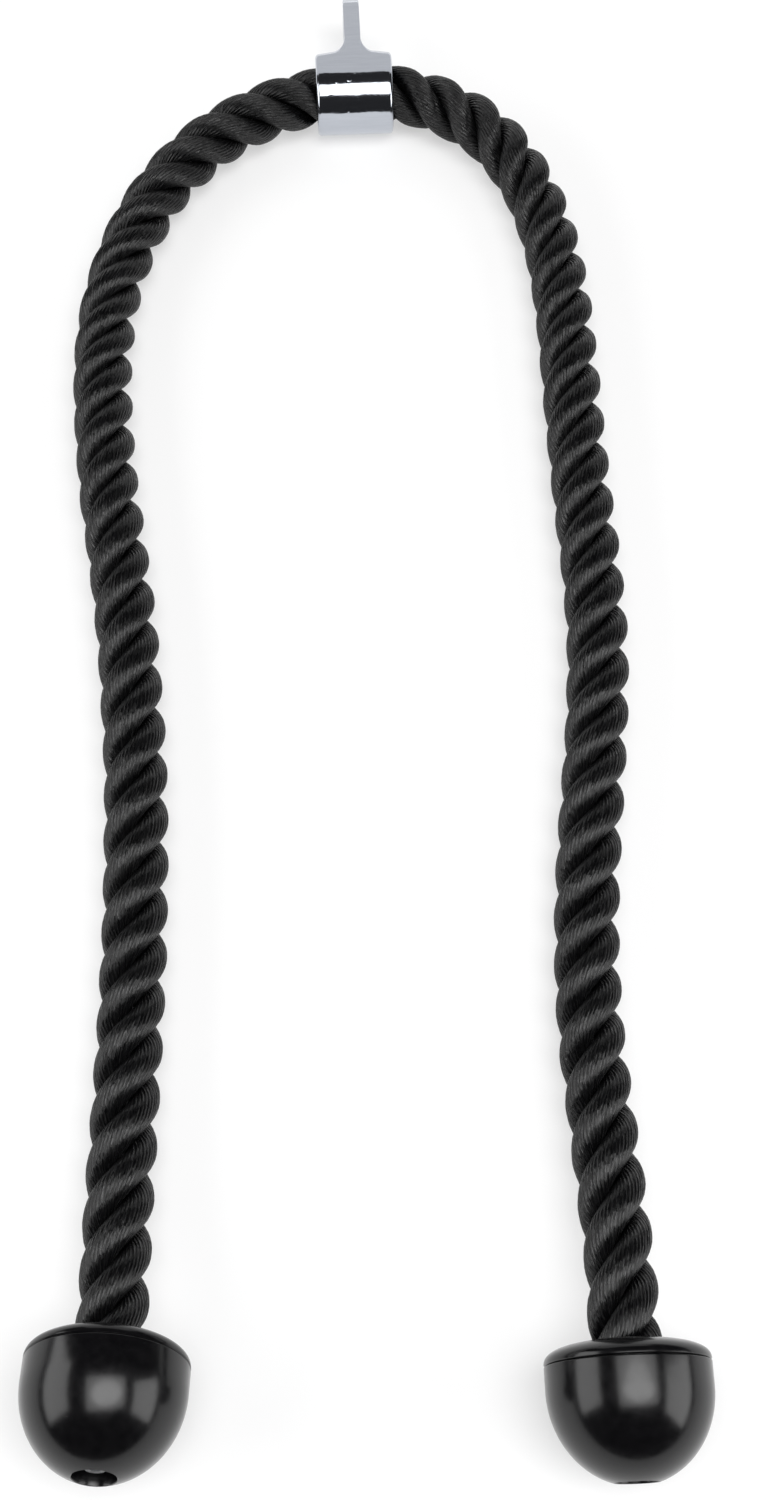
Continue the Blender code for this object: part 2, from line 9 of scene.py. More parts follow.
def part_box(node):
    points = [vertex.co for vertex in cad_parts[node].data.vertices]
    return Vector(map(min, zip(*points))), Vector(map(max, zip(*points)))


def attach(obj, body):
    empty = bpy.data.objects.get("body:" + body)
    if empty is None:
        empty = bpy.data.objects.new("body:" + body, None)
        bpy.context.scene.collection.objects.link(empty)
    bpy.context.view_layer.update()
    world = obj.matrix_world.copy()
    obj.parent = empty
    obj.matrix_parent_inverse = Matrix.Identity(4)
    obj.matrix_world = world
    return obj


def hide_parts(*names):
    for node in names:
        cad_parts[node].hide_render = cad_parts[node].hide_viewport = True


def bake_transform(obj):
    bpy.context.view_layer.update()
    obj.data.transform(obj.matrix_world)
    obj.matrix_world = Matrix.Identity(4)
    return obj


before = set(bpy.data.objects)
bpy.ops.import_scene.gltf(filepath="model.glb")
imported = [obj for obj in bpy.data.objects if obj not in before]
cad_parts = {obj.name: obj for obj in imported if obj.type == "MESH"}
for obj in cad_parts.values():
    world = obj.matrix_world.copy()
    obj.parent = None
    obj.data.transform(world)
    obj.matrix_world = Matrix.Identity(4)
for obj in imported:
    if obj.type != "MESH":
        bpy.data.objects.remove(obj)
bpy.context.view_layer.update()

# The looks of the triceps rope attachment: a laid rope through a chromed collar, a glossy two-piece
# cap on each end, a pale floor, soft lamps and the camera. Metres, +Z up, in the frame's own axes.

# The rope
ROPE_DIAMETER = 0.031
BEND_SPACING = 0.190
BEND_REACH = 0.042  # a length along the rope on each side of a hinge
STRAND_DISTANCE = 0.0083  # from the rope's axis to a strand's
STRAND_RADIAL = 0.00715  # a strand's half axes, away from the rope's axis and along its skin
STRAND_TANGENTIAL = 0.0089
STRAND_GAP = 0.00012  # from a strand to the sector's edge that it shares with the next
STRAND_CORNER = 14  # how sharp the strand's section is where it meets that edge
STRANDS = 3
YARNS = 28  # in a strand's skin
YARN_DEPTH = 0.00026
YARN_PROFILE = (-1, -0.25, 0, -0.25)  # across one yarn, from its valley over its crest
YARN_TURNS = -23.5  # of the yarns round a strand, for each metre
YARN_WANDER = 0.00007
STRAND_WANDER = 0.00018
YARN_WAVES = (0.031, 0.013)  # lengths of the waves in which the yarns and the strands wander
STRAND_WAVES = (0.083, 0.047)
WAVE_SPREAD = (0.8, 1.25)
YARN_SEED = 10
STRAND_SEED = 20
HEART_RADIUS = 0.0030  # the core cord that the strands lie round
HEART_COLUMNS = 12
RING_STEP = 0.0026
PATH_STEP = 0.012

# The collar and its eye plate
COLLAR_WIDTH = 0.042
COLLAR_RADIUS = 0.0205
COLLAR_BORE = 0.0164
COLLAR_EDGE = 0.002
COLLAR_BORE_EDGE = 0.0012
SHOULDER_RISE = 0.0023
FOOT_RISE = 0.0009
PLATE_THICKNESS = 0.0090
PLATE_FILLET = 0.0075
PLATE_EDGE = 0.0008
CREASE_BLEND = 0.0010  # how far the rounding of the forging's other edges reaches
EYE_DISTANCE = 0.045
EYE_RADIUS = 0.018
EYE_HOLE_DIAMETER = 0.020
EYE_HOLE_CHAMFER = 0.0010
CUT_OVERRUN = 0.001
RIM_ROUNDING_SHARE = 1 / 3  # of the plate's height over its foot
MERGE_DISTANCE = 0.00001

# The end caps
CAP_RADIUS = 0.035
BOWL_DOME_DEPTH = 0.038
BOWL_SIDE = 0.0098
BOWL_WALL = 0.004
SEAM_EDGE = 0.0005
RECESS_RADIUS = 0.0092
RECESS_DEPTH = 0.009
RECESS_EDGE = 0.0005
EDGE_BULGE_SHARE = 1 / 3  # how far the middle of that rounded edge is from its corner
SEAT_HEIGHT = 0.015
SOCKET_RADIUS = 0.0167
SOCKET_DEPTH = 0.024
SOCKET_WALL = 0.003
SCREW_HOLE_RADIUS = 0.00315
WASHER_THICKNESS = 0.0015
SCREW_RADIUS = 0.00275
SCREW_HEAD_RADIUS = 0.0045
SCREW_HEAD_HEIGHT = 0.0035
SCREW_HEAD_EDGE = 0.0005
SCREW_BITE = 0.026  # how deep the screw goes into the rope
SCREW_TIP = 0.004
SCREW_TIP_RADIUS = 0.0006875
KEY_RADIUS = 0.0025
KEY_DEPTH = 0.0018
KEY_SIDES = 6
ROPE_END = 0.0153
COVER_RISE = 0.0092
COVER_FULLNESS = 2.6
COVER_WALL = 0.003
COVER_BORE = 0.0161
COVER_LIP_EDGE = 0.0015
SPIGOT_DEPTH = 0.005
SPIGOT_WALL = 0.003
FIT_GAP = 0.0003
MOUTH_LEAD = 0.008

ARC_STEPS = 8
FILLET_STEPS = 24
DOME_STEPS = 40
TURN_STEPS = 144
SCREW_STEPS = 72
EYE_STEPS = 56
FLANK_STEPS = 60
ROUND_STEPS = 84
CURVE_STEPS = 24  # between two points of a smooth line
SECTION_SAMPLES = 1440
SHARP_ANGLE = 30  # an edge that turns more than this many degrees is shaded sharp
COLLAR_SHARP_ANGLE = 40

# The route of the rope from the collar's centre: x, y, and how much of the height of the collar's
# centre and of the cap's mouth over the flat-lying rope the rope still has there, as shares.
LEFT_RUN = [
    (-0.0385, -0.0040, 0.92, 0),
    (-0.0740, -0.0220, 0.68, 0),
    (-0.1025, -0.0500, 0.40, 0),
    (-0.1220, -0.0845, 0.15, 0),
    (-0.1340, -0.1230, 0.02, 0),
    (-0.1385, -0.1625, 0, 0),
    (-0.1380, -0.2025, 0, 0),
    (-0.1350, -0.2420, 0, 0),
    (-0.1300, -0.2820, 0, 0),
    (-0.1255, -0.3215, 0, 0),
    (-0.1225, -0.3615, 0, 0),
    (-0.1205, -0.4015, 0, 0),
    (-0.1200, -0.4415, 0, 0),
    (-0.1205, -0.4815, 0, 0),
    (-0.1220, -0.5215, 0, 0),
    (-0.1240, -0.5615, 0, 0.07),
    (-0.1260, -0.6010, 0, 0.24),
    (-0.1270, -0.6380, 0, 0.59),
]
RIGHT_RUN = [
    (0.0390, -0.0045, 0.92, 0),
    (0.0715, -0.0265, 0.68, 0),
    (0.0920, -0.0610, 0.40, 0),
    (0.1020, -0.0995, 0.15, 0),
    (0.1055, -0.1395, 0.02, 0),
    (0.1060, -0.1795, 0, 0),
    (0.1060, -0.2195, 0, 0),
    (0.1065, -0.2595, 0, 0),
    (0.1075, -0.2995, 0, 0),
    (0.1070, -0.3390, 0, 0),
    (0.1035, -0.3790, 0, 0),
    (0.0980, -0.4190, 0, 0),
    (0.0925, -0.4585, 0, 0),
    (0.0885, -0.4980, 0, 0),
    (0.0870, -0.5380, 0, 0.06),
    (0.0880, -0.5780, 0, 0.23),
    (0.0890, -0.6175, 0, 0.52),
    (0.0890, -0.6480, 0, 0.83),
]
LEFT_BOTTOM = (-0.1317, -0.7193)
LEFT_HEADING = math.radians(-3.8)
LEFT_TILT = math.radians(17)
RIGHT_BOTTOM = (0.0876, -0.7300)
RIGHT_HEADING = math.radians(-0.6)
RIGHT_TILT = math.radians(1.2)

# How many turns the lay has made at a distance along the rope, which is negative in the left leg
LAY_MARKS = [
    (-0.71, 0.85),
    (-0.63, 2.02),
    (-0.55, 3.23),
    (-0.46, 4.54),
    (-0.38, 5.67),
    (-0.30, 6.83),
    (-0.22, 8.02),
    (-0.14, 9.13),
    (-0.06, 10.31),
    (0.06, 12.04),
    (0.14, 13.18),
    (0.22, 14.34),
    (0.30, 15.45),
    (0.38, 16.59),
    (0.47, 17.87),
    (0.55, 19.01),
    (0.64, 20.37),
    (0.71, 21.36),
]

ROPE_RADIUS = ROPE_DIAMETER / 2
CENTIMETRES = 100  # in a metre
UP = Vector((0, 0, 1))


# The camera

CAMERA_PLACE = (0.00338, -0.42566, 0.8857)
CAMERA_TURN = (22.8, 0, -2.5)
CAMERA_LENS = 46.97  # in mm, as the sensor's height
SENSOR_HEIGHT = 36
CLIP_START = 0.01


def make_camera():
    camera = bpy.data.objects.new("camera", bpy.data.cameras.new("camera"))
    bpy.context.scene.collection.objects.link(camera)
    camera.location = CAMERA_PLACE
    camera.rotation_euler = [math.radians(angle) for angle in CAMERA_TURN]
    camera.data.sensor_fit = "VERTICAL"
    camera.data.sensor_height = SENSOR_HEIGHT
    camera.data.lens = CAMERA_LENS
    camera.data.clip_start = CLIP_START
    bpy.context.scene.camera = camera


# Shapes that the pieces share


def link(obj):
    bpy.context.scene.collection.objects.link(obj)
    return obj


def arc(centre, radius, start, end, steps):
    """Points of an arc in a plane, both ends included, with angles in turns of the circle."""
    points = []
    for step in range(steps + 1):
        angle = 2 * math.pi * (start + (end - start) * step / steps)
        points.append((centre[0] + radius * math.cos(angle), centre[1] + radius * math.sin(angle)))
    return points


def mesh_object(name, shape, smooth_angle):
    """Turns a bmesh into a smooth-shaded object, with its faces pointing out."""
    bmesh.ops.recalc_face_normals(shape, faces=shape.faces)
    mesh = bpy.data.meshes.new(name)
    shape.to_mesh(mesh)
    shape.free()
    mesh.shade_smooth()
    mesh.set_sharp_from_angle(angle=math.radians(smooth_angle))
    return link(bpy.data.objects.new(name, mesh))


def turned_rings(shape, profile, steps, matrix):
    """A ring of points about Z for each (radius, height) of the profile, put in place."""
    rings = []
    for radius, height in profile:
        angles = [2 * math.pi * step / steps for step in range(steps)]
        places = [Vector((radius * math.cos(angle), radius * math.sin(angle), height)) for angle in angles]
        rings.append([shape.verts.new(matrix @ place) for place in places])
    return rings


def join_rings(shape, rings, following_rings):
    """Faces between each ring and the one that follows it."""
    for ring, following in zip(rings, following_rings):
        for i in range(len(ring)):
            k = (i + 1) % len(ring)
            shape.faces.new((ring[i], ring[k], following[k], following[i]))


def turned(name, profile, steps, matrix):
    """A closed profile of (radius, height) turned about Z and put in place."""
    shape = bmesh.new()
    rings = turned_rings(shape, profile, steps, matrix)
    join_rings(shape, rings, rings[1:] + rings[:1])
    return mesh_object(name, shape, SHARP_ANGLE)


def turned_body(profile, steps, matrix):
    """A closed body turned about Z, with flat faces where its profile starts and ends."""
    shape = bmesh.new()
    rings = turned_rings(shape, profile, steps, matrix)
    join_rings(shape, rings, rings[1:])
    shape.faces.new(rings[0])
    shape.faces.new(rings[-1])
    return mesh_object("turned_body", shape, SHARP_ANGLE)


def cut(name, blank, cutter, matrix, smooth_angle):
    """Cuts one body out of another and puts what is left in place."""
    hole = blank.modifiers.new("hole", "BOOLEAN")
    hole.operation = "DIFFERENCE"
    hole.solver = "EXACT"
    hole.object = cutter
    bpy.context.view_layer.update()
    mesh = bpy.data.meshes.new_from_object(blank.evaluated_get(bpy.context.evaluated_depsgraph_get()))
    for old in (blank, cutter):
        bpy.data.objects.remove(old)
    mesh.name = name
    mesh.transform(matrix)
    mesh.materials.clear()
    mesh.shade_smooth()
    mesh.set_sharp_from_angle(angle=math.radians(smooth_angle))
    return link(bpy.data.objects.new(name, mesh))


# How a cap lies


class Cap:
    """How one end cap lies: its own axis runs from its bottom, at height 0, up to its mouth."""

    def __init__(self, bottom, heading, tilt):
        self.outward = Vector(
            (
                math.sin(heading) * math.cos(tilt),
                -math.cos(heading) * math.cos(tilt),
                math.sin(tilt),
            )
        )
        self.bottom = Vector((*bottom, 0))
        # the cap rests on the floor at the lowest point of its skin
        self.bottom.z = -min(self.at(height).z - radius * math.cos(tilt) for radius, height in cap_skin())

    def at(self, height):
        """The point of the cap's axis at that height over its bottom."""
        return self.bottom - self.outward * height

    def matrix(self):
        """From the cap's own axes, with Z up its axis and X down to the floor, to the frame's."""
        along = -self.outward
        down = (-UP - along * along.dot(-UP)).normalized()
        turn = Matrix((down, along.cross(down), along)).transposed().to_4x4()
        return Matrix.Translation(self.bottom) @ turn


def dome_end_angle():
    """The angle on the bowl's dome where the recess opens."""
    return math.acos((RECESS_RADIUS + RECESS_EDGE) / CAP_RADIUS)


def dome_centre():
    return BOWL_DOME_DEPTH * math.sin(dome_end_angle())


def bowl_height():
    return dome_centre() + BOWL_SIDE


def cover_foot():
    return bowl_height() + FIT_GAP


def cover_dome(turn):
    """A point of the cover's outer dome, at a turn of 0 for its foot up to a quarter circle."""
    power = 2 / COVER_FULLNESS
    rise = COVER_RISE * math.sin(turn) ** power
    return CAP_RADIUS * math.cos(turn) ** power, cover_foot() + rise


def lip_turn():
    """Where the cover's dome meets the rounded lip round the rope."""
    lip = (COVER_BORE + COVER_LIP_EDGE) / CAP_RADIUS
    return math.acos(lip ** (COVER_FULLNESS / 2))


def cap_height():
    return cover_dome(lip_turn())[1]


def bowl_skin():
    """The bowl's outer side, from the seam down to the edge of the recess."""
    points = arc((CAP_RADIUS - SEAM_EDGE, bowl_height() - SEAM_EDGE), SEAM_EDGE, 1 / 4, 0, ARC_STEPS)
    for step in range(DOME_STEPS + 1):
        angle = dome_end_angle() * step / DOME_STEPS
        points.append((CAP_RADIUS * math.cos(angle), dome_centre() - BOWL_DOME_DEPTH * math.sin(angle)))
    return points


def cover_skin():
    """The cover's outer side, from the crest of the lip down to the seam."""
    lip = (COVER_BORE + COVER_LIP_EDGE, cap_height() - COVER_LIP_EDGE)
    points = arc(lip, COVER_LIP_EDGE, 1 / 2, 1 / 4, ARC_STEPS)
    end = math.asin((SEAM_EDGE / COVER_RISE) ** (COVER_FULLNESS / 2))
    for step in range(1, DOME_STEPS + 1):
        # the steps are closer near the seam, where the dome turns fastest
        share = math.sin(math.pi / 2 * step / DOME_STEPS)
        points.append(cover_dome(lip_turn() + (end - lip_turn()) * share))
    points.append((CAP_RADIUS - SEAM_EDGE, cover_foot()))
    return points


def cap_skin():
    return cover_skin() + bowl_skin()


# The rope's line


def smooth_line(points):
    """A fine line on a cubic curve through the points, whose slopes allow for uneven spacing."""
    gaps = [(b - a).length for a, b in zip(points, points[1:])]
    slopes = [(points[1] - points[0]) / gaps[0]]
    for i in range(1, len(points) - 1):
        before = (points[i] - points[i - 1]) / gaps[i - 1]
        after = (points[i + 1] - points[i]) / gaps[i]
        slopes.append((before * gaps[i] + after * gaps[i - 1]) / (gaps[i - 1] + gaps[i]))
    slopes.append((points[-1] - points[-2]) / gaps[-1])
    line = [points[0]]
    for i, gap in enumerate(gaps):
        for step in range(1, CURVE_STEPS + 1):
            t = step / CURVE_STEPS
            line.append(
                points[i] * (2 * t**3 - 3 * t**2 + 1)
                + slopes[i] * gap * (t**3 - 2 * t**2 + t)
                + points[i + 1] * (3 * t**2 - 2 * t**3)
                + slopes[i + 1] * gap * (t**3 - t**2)
            )
    return line


def run_points(run, cap, collar_centre):
    """The points of one leg, from the collar outwards to the rope's end in its cap."""
    points = []
    mouth = cap.at(cap_height())
    for x, y, collar_share, cap_share in run:
        lift = collar_share * (COLLAR_RADIUS - ROPE_RADIUS) + cap_share * (mouth.z - ROPE_RADIUS)
        points.append(Vector((collar_centre.x + x, collar_centre.y + y, ROPE_RADIUS + lift)))
    return points + [cap.at(cap_height() + MOUTH_LEAD), mouth, cap.at(ROPE_END)]


class Route:
    """The rope's centre line, measured from the collar's centre, with the left leg at negative
    distances, and the two directions across it at each place."""

    def __init__(self, points, middle):
        line = np.array([tuple(point) for point in smooth_line(points)])
        steps = np.linalg.norm(np.diff(line, axis=0), axis=1)
        lengths = np.concatenate(([0], np.cumsum(steps)))
        nearest = np.argmin(np.linalg.norm(line - np.array(middle), axis=1))
        self.lengths = lengths - lengths[nearest]
        self.line = line
        self.tangents = np.gradient(line, self.lengths, axis=0)

    def spread(self, values, distances):
        return np.stack([np.interp(distances, self.lengths, values[:, i]) for i in range(3)], axis=-1)

    def at(self, distances):
        """Places on the line. Past the rope's ends it goes straight on."""
        inside = np.clip(distances, self.lengths[0], self.lengths[-1])
        past = (distances - inside)[..., None]
        return self.spread(self.line, inside) + past * self.along(inside)

    def along(self, distances):
        tangents = self.spread(self.tangents, distances)
        return tangents / np.linalg.norm(tangents, axis=-1, keepdims=True)

    def across(self, distances):
        """The direction nearest to up, and the one to its side, both square to the rope."""
        along = self.along(distances)
        upward = np.array(UP) - along * along[..., 2:3]
        upward /= np.linalg.norm(upward, axis=-1, keepdims=True)
        return upward, np.cross(along, upward)


# The rope's strands


def lay_turns(distances):
    """The lay's turns at each distance, on a smooth curve through the marks."""
    marks = [Vector((distance, turns)) for distance, turns in LAY_MARKS]
    first = marks[0] - (marks[1] - marks[0])
    last = marks[-1] + (marks[-1] - marks[-2])
    line = np.array([tuple(point) for point in smooth_line([first, *marks, last])])
    return np.interp(distances, line[:, 0], line[:, 1])


def strand_section():
    """The outline of a strand's section as (share of the way round, radial, tangential, and the
    outward normal), seen from the rope's axis: an oval held inside its sector of the rope."""
    angles = np.linspace(0, 2 * math.pi, SECTION_SAMPLES, endpoint=False)
    cos, sin = np.cos(angles), np.sin(angles)
    half = math.pi / STRANDS
    oval = np.hypot(cos / STRAND_RADIAL, sin / STRAND_TANGENTIAL)
    edge = STRAND_DISTANCE * math.sin(half) - STRAND_GAP
    one = np.clip((sin * math.cos(half) - cos * math.sin(half)) / edge, 0, None)
    other = np.clip((-sin * math.cos(half) - cos * math.sin(half)) / edge, 0, None)
    inverse = (oval**STRAND_CORNER + one**STRAND_CORNER + other**STRAND_CORNER) ** (1 / STRAND_CORNER)
    outline = np.stack([cos, sin], axis=-1) / inverse[:, None]
    closed = np.vstack([outline, outline[:1]])
    lengths = np.concatenate(([0], np.cumsum(np.linalg.norm(np.diff(closed, axis=0), axis=1))))
    slope = np.roll(outline, -1, axis=0) - np.roll(outline, 1, axis=0)
    slope /= np.linalg.norm(slope, axis=1, keepdims=True)
    normal = np.stack([slope[:, 1], -slope[:, 0]], axis=-1)
    return lengths[:-1] / lengths[-1], outline + (STRAND_DISTANCE, 0), normal


def slow_waves(rows, columns, lengths, seed):
    """Smooth seeded waves along the rope, one set for each column, between about -1 and 1."""
    random = np.random.default_rng(seed)
    total = np.zeros((len(rows), columns))
    for length in lengths:
        phase = random.uniform(0, 2 * math.pi, columns)
        wave = length * random.uniform(*WAVE_SPREAD, columns)
        total += np.sin(2 * math.pi * rows[:, None] / wave + phase)
    return total / len(lengths)


def strand_grid(route, distances, strand):
    """The strand's skin as a grid of points: a ring of yarns at each distance along the rope."""
    shares, outline, normal = strand_section()
    columns = YARNS * len(YARN_PROFILE)
    turn = (np.arange(columns) / columns + YARN_TURNS * distances[:, None] + strand / STRANDS) % 1
    radial, tangential = (np.interp(turn, shares, outline[:, i], period=1) for i in range(2))
    out_radial, out_tangential = (np.interp(turn, shares, normal[:, i], period=1) for i in range(2))
    yarn_waves = slow_waves(distances, YARNS, YARN_WAVES, YARN_SEED + strand)
    strand_waves = slow_waves(distances, 1, STRAND_WAVES, STRAND_SEED + strand)
    depth = YARN_DEPTH * np.tile(YARN_PROFILE, YARNS)
    depth = depth + YARN_WANDER * np.repeat(yarn_waves, len(YARN_PROFILE), axis=1)
    depth = depth + STRAND_WANDER * (strand_waves - 1) / 2
    radial = radial + depth * out_radial
    tangential = tangential + depth * out_tangential
    angle = 2 * math.pi * (lay_turns(distances) + strand / STRANDS)[:, None]
    upward, sideways = route.across(distances)
    along_up = radial * np.cos(angle) - tangential * np.sin(angle)
    along_side = radial * np.sin(angle) + tangential * np.cos(angle)
    offset = along_up[..., None] * upward[:, None] + along_side[..., None] * sideways[:, None]
    return route.at(distances)[:, None] + offset


def grid_normals(grid):
    """Outward normals at the points of a grid, from their neighbours. The first and last rows of the
    grid only serve their neighbours."""
    along = grid[2:] - grid[:-2]
    round_it = np.roll(grid, -1, axis=1) - np.roll(grid, 1, axis=1)
    normals = np.cross(round_it[1:-1], along)
    return normals / np.linalg.norm(normals, axis=-1, keepdims=True)


def heart_grid(route, distances):
    """The skin of the core cord, which closes the rope's middle between the strands."""
    angle = 2 * math.pi * np.arange(HEART_COLUMNS) / HEART_COLUMNS
    upward, sideways = route.across(distances)
    outward = np.cos(angle)[:, None] * upward[:, None] + np.sin(angle)[:, None] * sideways[:, None]
    return route.at(distances)[:, None] + HEART_RADIUS * outward


def make_cord(name, route, first, last):
    """The rope's strands and heart between two distances, as one mesh with closed ends. Its UV map
    counts yarns across and has centimetres along."""
    count = max(2, round((last - first) / RING_STEP))
    step = (last - first) / count
    distances = first + step * np.arange(-1, count + 2)
    skins = [strand_grid(route, distances, strand) for strand in range(STRANDS)]
    skins.append(heart_grid(route, distances))
    points, normals, faces, maps = [], [], [], []
    base = 0
    for number, grid in enumerate(skins):
        columns = grid.shape[1]
        points.append(grid[1:-1].reshape(-1, 3))
        normals.append(grid_normals(grid).reshape(-1, 3))
        row, column = np.meshgrid(np.arange(count), np.arange(columns), indexing="ij")
        following = (column + 1) % columns
        here = base + row * columns
        above = here + columns
        quads = np.stack([here + column, here + following, above + following, above + column], axis=-1)
        faces += quads.reshape(-1, 4).tolist()
        across = column / len(YARN_PROFILE) + number * YARNS
        next_across = (column + 1) / len(YARN_PROFILE) + number * YARNS
        along = CENTIMETRES * (first + step * row)
        next_along = along + CENTIMETRES * step
        corners = [(across, along), (next_across, along), (next_across, next_along), (across, next_along)]
        maps.append(np.stack([np.stack(corner, axis=-1) for corner in corners], axis=-2).reshape(-1, 2))
        faces.append(list(range(base + columns - 1, base - 1, -1)))
        maps.append(np.tile((number * YARNS, CENTIMETRES * first), (columns, 1)))
        top = base + count * columns
        faces.append(list(range(top, top + columns)))
        maps.append(np.tile((number * YARNS, CENTIMETRES * last), (columns, 1)))
        base = top + columns
    mesh = bpy.data.meshes.new(name)
    mesh.from_pydata(np.concatenate(points).tolist(), [], faces)
    layer = mesh.uv_layers.new(name="yarns")
    layer.data.foreach_set("uv", np.concatenate(maps).astype(np.float32).ravel())
    mesh.shade_smooth()
    mesh.normals_split_custom_set_from_vertices(np.concatenate(normals).tolist())
    return link(bpy.data.objects.new(name, mesh))


def make_leg(side, sign, route, material):
    """One leg of the rope as four cords, cut at even spacings along it, in place of the model's own rope
    pieces.
    """
    end = abs(route.lengths[-1] if sign > 0 else route.lengths[0])
    stops = [0, BEND_SPACING, 2 * BEND_SPACING, 3 * BEND_SPACING, end]
    covered = "rope_centre"
    for number, (start, stop) in enumerate(zip(stops, stops[1:]), 1):
        name = f"{side}_strands_{number}"
        cord = make_cord(name, route, *sorted((sign * start, sign * stop)))
        cord.data.materials.append(material)
        count = round((stop - start) / PATH_STEP)
        path = route.at(sign * np.linspace(start, stop, count + 1))
        hinge = sign * BEND_SPACING * (number - 1 / 2)
        reach = sign * BEND_REACH
        route.at(hinge - reach)
        route.at(hinge + reach)
        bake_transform(cord)
        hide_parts(covered, f"{side}_rope_bend_{number}", f"{side}_rope_{number}")
        covered = f"{side}_rope_{number}"


# The collar


def plate_outline():
    """The eye plate seen along the rope, round the whole ring: (angle about the rope, distance from
    the rope's line). Its flanks are straight, tangent to the ring and to the rounded end."""
    lean = math.acos((COLLAR_RADIUS - EYE_RADIUS) / EYE_DISTANCE)
    points = []
    for step in range(EYE_STEPS + 1):
        angle = lean * (2 * step / EYE_STEPS - 1)
        points.append((EYE_DISTANCE + EYE_RADIUS * math.cos(angle), EYE_RADIUS * math.sin(angle)))
    upper = Vector(points[-1])
    foot = Vector((COLLAR_RADIUS * math.cos(lean), COLLAR_RADIUS * math.sin(lean)))
    flank = [tuple(upper.lerp(foot, step / FLANK_STEPS)) for step in range(1, FLANK_STEPS + 1)]
    points += flank
    for step in range(1, ROUND_STEPS):
        angle = lean + 2 * (math.pi - lean) * step / ROUND_STEPS
        points.append((COLLAR_RADIUS * math.cos(angle), COLLAR_RADIUS * math.sin(angle)))
    points += [(y, -z) for y, z in reversed(flank)]
    return [(math.atan2(z, y), math.hypot(y, z)) for y, z in points]


def shoulder_radius():
    return COLLAR_RADIUS + SHOULDER_RISE


def foot_radius():
    return shoulder_radius() + FOOT_RISE


def collar_section():
    """The collar's half section, from the ring's end up to the plate: (distance from its middle plane,
    the radius up to which the shape is filled, how deep the edge there is rounded). A radius of None
    is the plate itself, which is filled up to its outline."""
    end = COLLAR_WIDTH / 2
    half = PLATE_THICKNESS / 2
    shoulder = shoulder_radius()
    edge = arc((end - COLLAR_EDGE, shoulder - COLLAR_EDGE), COLLAR_EDGE, 0, 1 / 4, ARC_STEPS)
    section = [(x, shoulder, shoulder - radius) for x, radius in edge]
    fillet = (half + PLATE_FILLET, foot_radius() + PLATE_FILLET)
    section += [(x, radius, 0) for x, radius in arc(fillet, PLATE_FILLET, 3 / 4, 1 / 2, FILLET_STEPS)]
    rounded = arc((half - PLATE_EDGE, -PLATE_EDGE), PLATE_EDGE, 0, 1 / 4, ARC_STEPS)
    section += [(x, None, -height) for x, height in rounded]
    return section


def soft_least(one, other, width):
    """The smaller of two lengths, with the change from one to the other rounded off."""
    near = max(width - abs(one - other), 0) / width
    return min(one, other) - near * near * width / 4


def collar_loop(x, radius, depth, outline):
    """One closed loop of the collar's skin at a distance from its middle plane. It stays inside the
    outline, so that the shoulders are flat where the plate's flanks leave the ring."""
    loop = []
    for angle, rim in outline:
        # the rim's edge is sharp where the plate is no higher than its foot
        rounding = min(PLATE_EDGE, max(0, rim - foot_radius()) * RIM_ROUNDING_SHARE)
        if radius is None:
            reach = rim - min(depth, rounding)
        elif rim > COLLAR_RADIUS + CREASE_BLEND / 4:
            reach = soft_least(radius, rim - rounding, CREASE_BLEND) - depth
        else:
            reach = min(radius, rim) - depth
        loop.append(Vector((x, reach * math.cos(angle), reach * math.sin(angle))))
    return loop


def eye_cutter():
    """What is cut out of the plate for the eye, wider at both faces, where its edges are rounded."""
    face = PLATE_THICKNESS / 2
    radius = EYE_HOLE_DIAMETER / 2
    rim = arc((face - EYE_HOLE_CHAMFER, radius + EYE_HOLE_CHAMFER), EYE_HOLE_CHAMFER, 0, -1 / 4, ARC_STEPS)
    profile = [(rim[0][1], face + CUT_OVERRUN)] + [(reach, along) for along, reach in rim]
    profile += [(reach, -along) for reach, along in reversed(profile)]
    turn = Matrix.Translation((0, EYE_DISTANCE, 0)) @ Matrix.Rotation(math.pi / 2, 4, "Y")
    return turned_body(profile, TURN_STEPS, turn)


def make_collar(centre, material):
    """The forged collar: loops about the rope, out along one half and back, then the bore."""
    outline = plate_outline()
    half = collar_section()
    loops = [collar_loop(x, radius, depth, outline) for x, radius, depth in half]
    loops += [collar_loop(-x, radius, depth, outline) for x, radius, depth in reversed(half)]
    end = COLLAR_WIDTH / 2
    edge = (-end + COLLAR_BORE_EDGE, COLLAR_BORE + COLLAR_BORE_EDGE)
    left = arc(edge, COLLAR_BORE_EDGE, 1 / 2, 3 / 4, ARC_STEPS)
    right = [(-x, radius) for x, radius in reversed(left)]
    loops += [collar_loop(x, radius, 0, outline) for x, radius in left + right]
    shape = bmesh.new()
    rings = [[shape.verts.new(point) for point in loop] for loop in loops]
    join_rings(shape, rings, rings[1:] + rings[:1])
    # where the plate is low, some loops run together
    bmesh.ops.remove_doubles(shape, verts=shape.verts, dist=MERGE_DISTANCE)
    blank = mesh_object("collar_blank", shape, COLLAR_SHARP_ANGLE)
    collar = cut("collar_forging", blank, eye_cutter(), Matrix.Translation(centre), COLLAR_SHARP_ANGLE)
    collar.data.materials.append(material)
    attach(collar, "collar")
    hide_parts("collar")


# The caps


